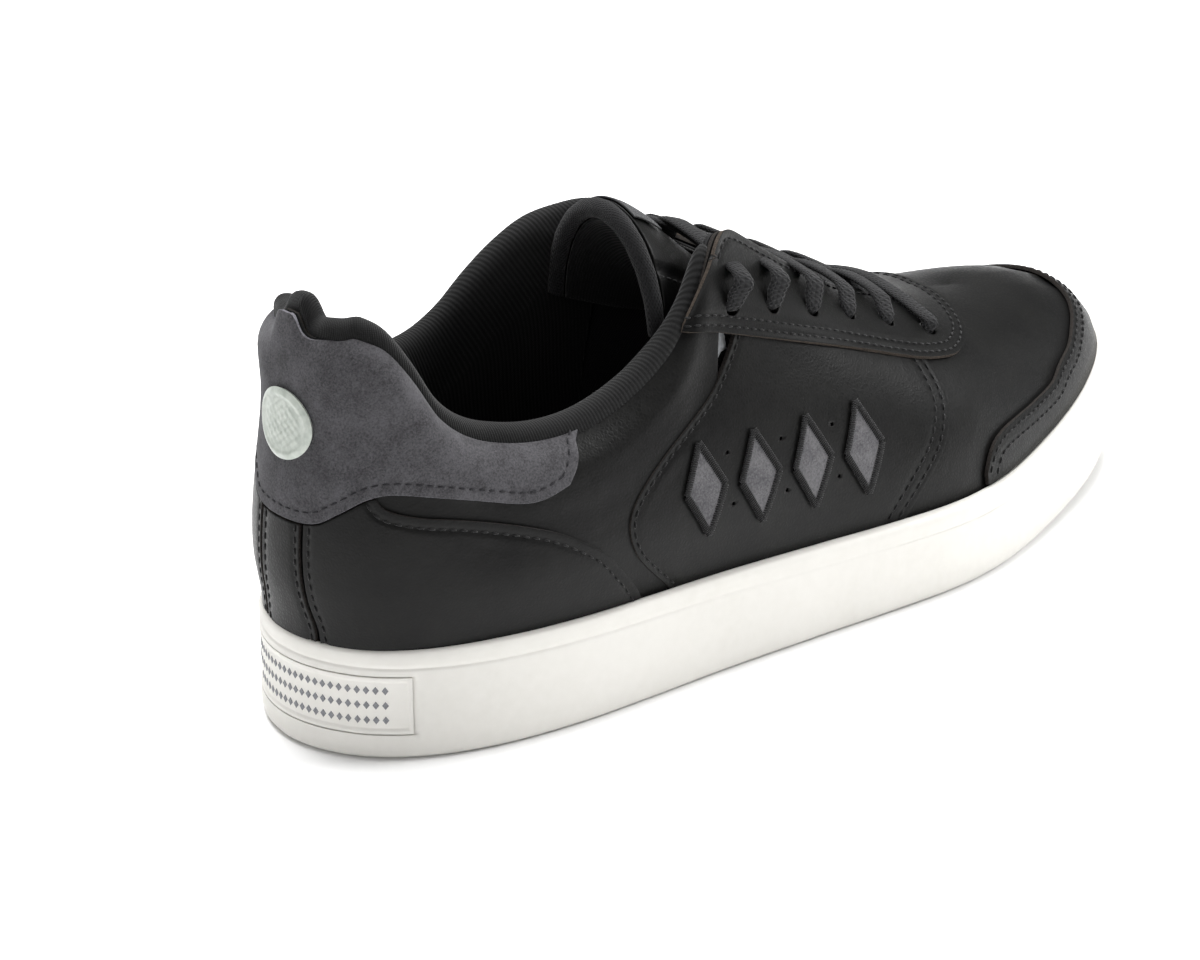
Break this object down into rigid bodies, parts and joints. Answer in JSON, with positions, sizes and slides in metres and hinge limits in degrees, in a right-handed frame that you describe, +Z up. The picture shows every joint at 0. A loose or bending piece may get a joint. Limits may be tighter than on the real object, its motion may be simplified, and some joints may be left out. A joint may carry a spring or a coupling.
{
  "type": "golf shoe",
  "caption": "Low spikeless golf shoe for the right foot: black leather lace-up upper with a grey suede heel tab on a pale rubber cupsole.",
  "frame": {"origin": "on the ground, under the middle of the shoe", "axes": "+X from heel to toe, +Y towards the inner (medial) side of the foot, +Z up"},
  "size_m": [0.302, 0.1074, 0.1227],
  "materials": {
    "sole_rubber": "moulded off-white rubber, satin",
    "plaque_rubber": "moulded off-white rubber, fine texture",
    "eva_foam": "closed-cell foam",
    "padding_foam": "open-cell foam",
    "shank_plastic": "moulded nylon",
    "fibreboard": "stitched insole board",
    "stiffener": "thermoplastic-impregnated felt",
    "black_leather": "full-grain leather, semi-gloss",
    "grey_suede": "napped suede",
    "lining_fabric": "knitted textile",
    "label_fabric": "woven label, blank",
    "lace_fabric": "flat braided polyester",
    "badge_plastic": "moulded badge, satin"
  },
  "bodies": {
    "shoe": {"cupsole": "sole_rubber", "midsole_foam": "eva_foam", "shank": "shank_plastic", "strobel_board": "fibreboard", "vamp": "black_leather", "toe_overlay": "black_leather", "toe_puff": "stiffener", "eyestay": "black_leather", "heel_tab": "grey_suede", "heel_badge": "badge_plastic", "heel_plaque": "plaque_rubber", "heel_back_strip": "black_leather", "heel_counter": "stiffener", "collar_foam": "padding_foam", "collar_lining": "lining_fabric", "vamp_lining": "lining_fabric", "lace": "lace_fabric", "quarter_lateral": "black_leather", "rear_quarter_lateral": "black_leather", "heel_foxing_lateral": "black_leather", "eyestay_backing_lateral": "stiffener", "diamond_lateral_1": "grey_suede", "diamond_lateral_2": "grey_suede", "diamond_lateral_3": "grey_suede", "diamond_lateral_4": "grey_suede", "quarter_medial": "black_leather", "rear_quarter_medial": "black_leather", "heel_foxing_medial": "black_leather", "eyestay_backing_medial": "stiffener", "diamond_medial_1": "grey_suede", "diamond_medial_2": "grey_suede", "diamond_medial_3": "grey_suede", "diamond_medial_4": "grey_suede"},
    "tongue": {"tongue_outer": "black_leather", "tongue_foam": "padding_foam", "tongue_lining": "lining_fabric", "tongue_binding": "lining_fabric", "tongue_label": "label_fabric"},
    "sockliner": {"sockliner_foam": "eva_foam", "sockliner_cover": "lining_fabric"}
  },
  "joints": [
    {"name": "tongue_press", "type": "hinge", "parent": "shoe", "child": "tongue", "pos_m": [0.07395, 0.00247, 0.057], "axis": [0, 1, 0], "range_deg": [-6, 0], "stiffness_Nm_per_rad": 0.2, "springref_deg": 14.32},
    {"name": "sockliner_peel", "type": "hinge", "parent": "shoe", "child": "sockliner", "pos_m": [0.13595, 0.00847, 0.025], "axis": [0, 1, 0], "range_deg": [0, 5]}
  ]
}
